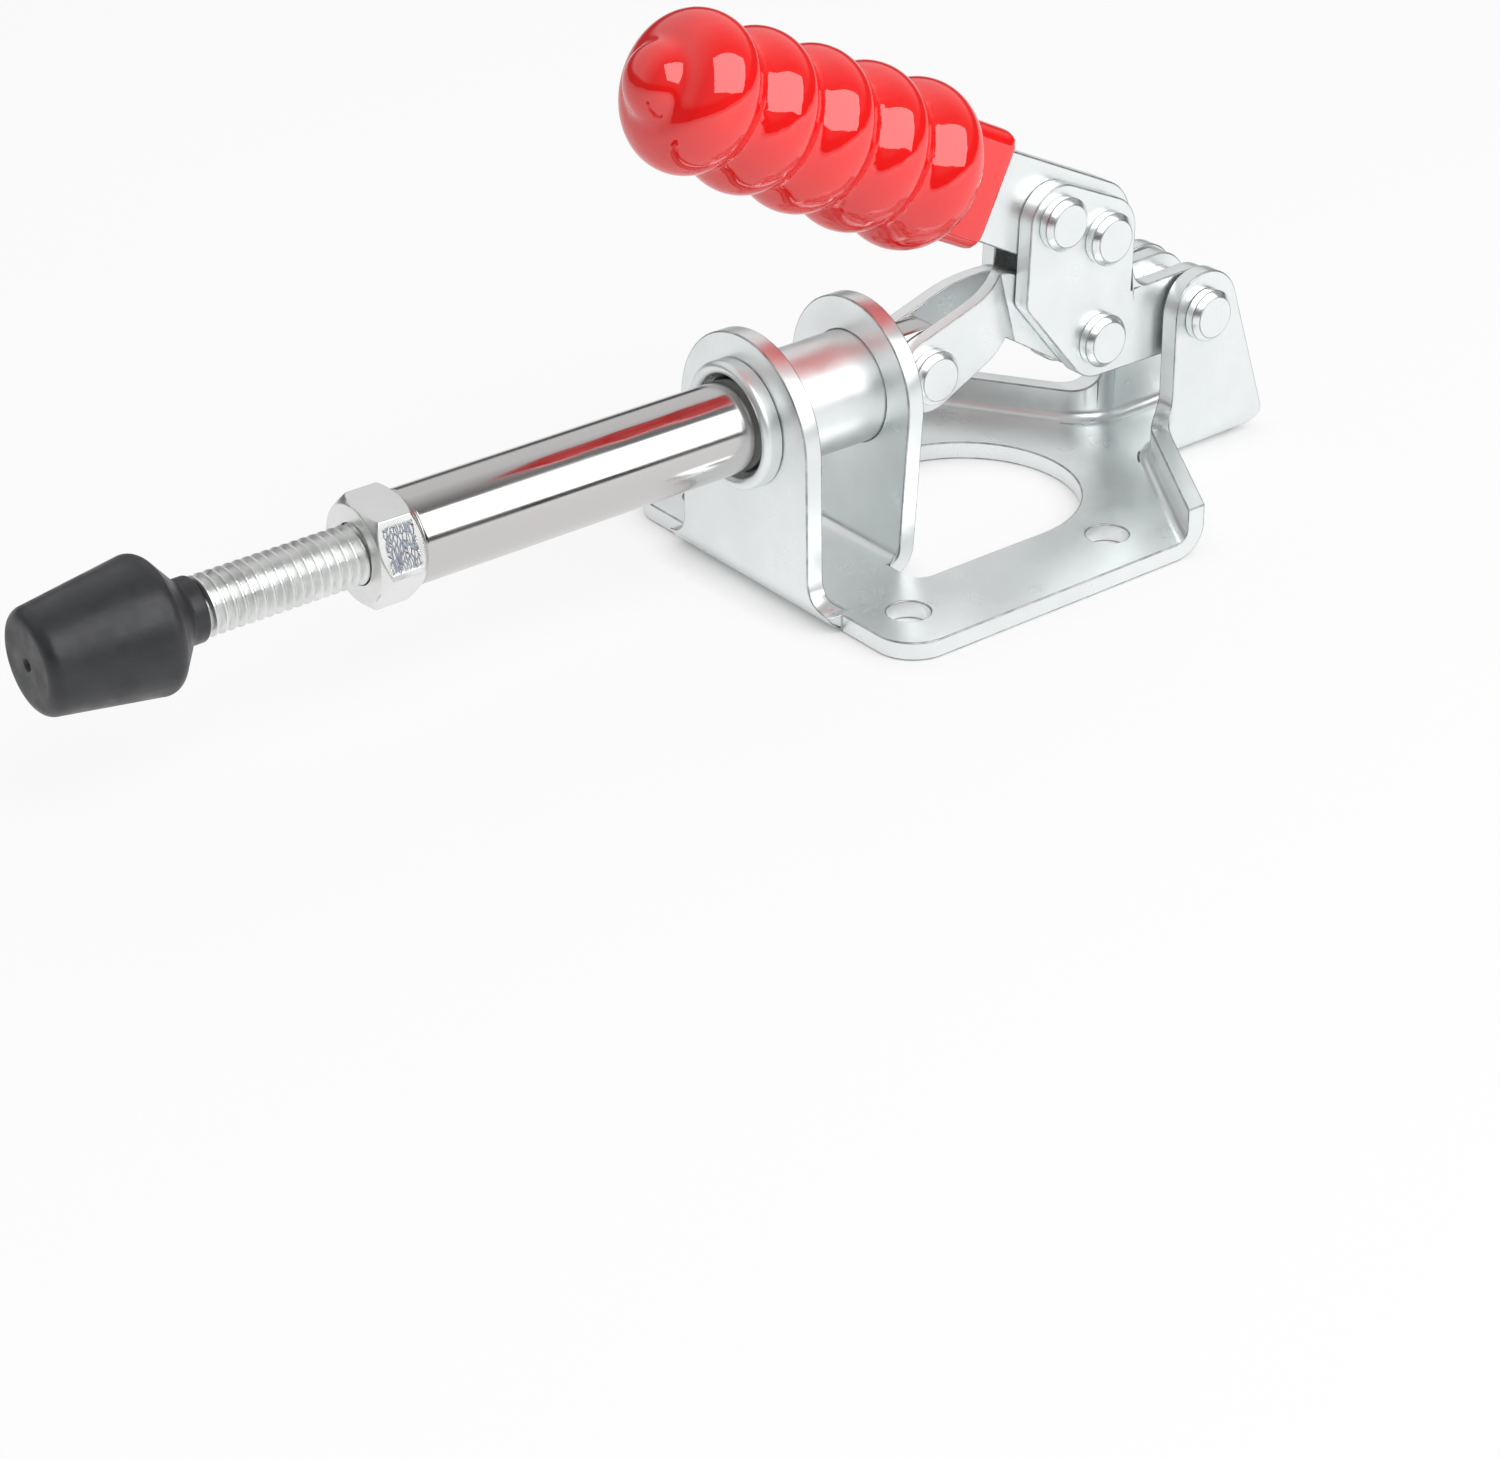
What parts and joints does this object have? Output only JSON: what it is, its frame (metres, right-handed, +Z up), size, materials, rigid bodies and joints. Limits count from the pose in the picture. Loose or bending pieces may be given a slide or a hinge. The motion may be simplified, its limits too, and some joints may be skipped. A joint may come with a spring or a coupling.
{
  "type": "toggle clamp",
  "caption": "Push-pull toggle clamp: a flanged sheet base guides a plunger that a red-gripped handle drives through an over-centre link to a rubber-capped spindle.",
  "frame": {"origin": "centre of the four mounting holes, on the underside of the base", "axes": "+Z up out of the base, +X along the plunger from its rubber cap towards the handle's pivot, +Y across the base"},
  "size_m": [0.1474, 0.047, 0.0623],
  "materials": {
    "zinc_sheet": "satin",
    "plated_steel": "satin",
    "chrome_rod": "polished",
    "rivet_steel": "satin",
    "black_rubber": "matte",
    "red_vinyl": "glossy"
  },
  "bodies": {
    "base": {"base": "zinc_sheet", "guide_sleeve": "zinc_sheet", "rivet_base": "rivet_steel"},
    "handle": {"handle_bar": "zinc_sheet", "grip": "red_vinyl", "cheek_near": "zinc_sheet", "cheek_far": "zinc_sheet", "rivet_handle_front": "rivet_steel", "rivet_handle_rear": "rivet_steel", "rivet_link": "rivet_steel", "pivot_bush": "plated_steel"},
    "plunger": {"plunger": "chrome_rod"},
    "links": {"link_near": "zinc_sheet", "link_far": "zinc_sheet", "rivet_plunger": "rivet_steel"},
    "spindle": {"spindle": "plated_steel", "rubber_cap": "black_rubber"},
    "nut": {"lock_nut": "plated_steel"}
  },
  "joints": [
    {"name": "handle_pivot", "type": "hinge", "parent": "base", "child": "handle", "pos_m": [0.0373, 0, 0.0167], "axis": [0, 1, 0], "range_deg": [0, 110]},
    {"name": "plunger_slide", "type": "slide", "parent": "base", "child": "plunger", "axis": [1, 0, 0], "range_m": [0, 0.02008]},
    {"name": "link_pivot", "type": "hinge", "parent": "plunger", "child": "links", "pos_m": [0.00071, 0, 0.019], "axis": [0, -1, 0], "range_deg": [0, 31.49]},
    {"name": "spindle_adjust", "type": "slide", "parent": "plunger", "child": "spindle", "axis": [1, 0, 0], "range_m": [-0.006, 0.011]},
    {"name": "nut_turn", "type": "hinge", "parent": "plunger", "child": "nut", "pos_m": [-0.0642, 0, 0.019], "axis": [1, 0, 0], "continuous": true}
  ],
  "couplings": [
    {"joint": "plunger_slide", "follows": "handle_pivot", "m_per_rad": 0.010456},
    {"joint": "link_pivot", "follows": "handle_pivot", "ratio": 0.28616}
  ]
}
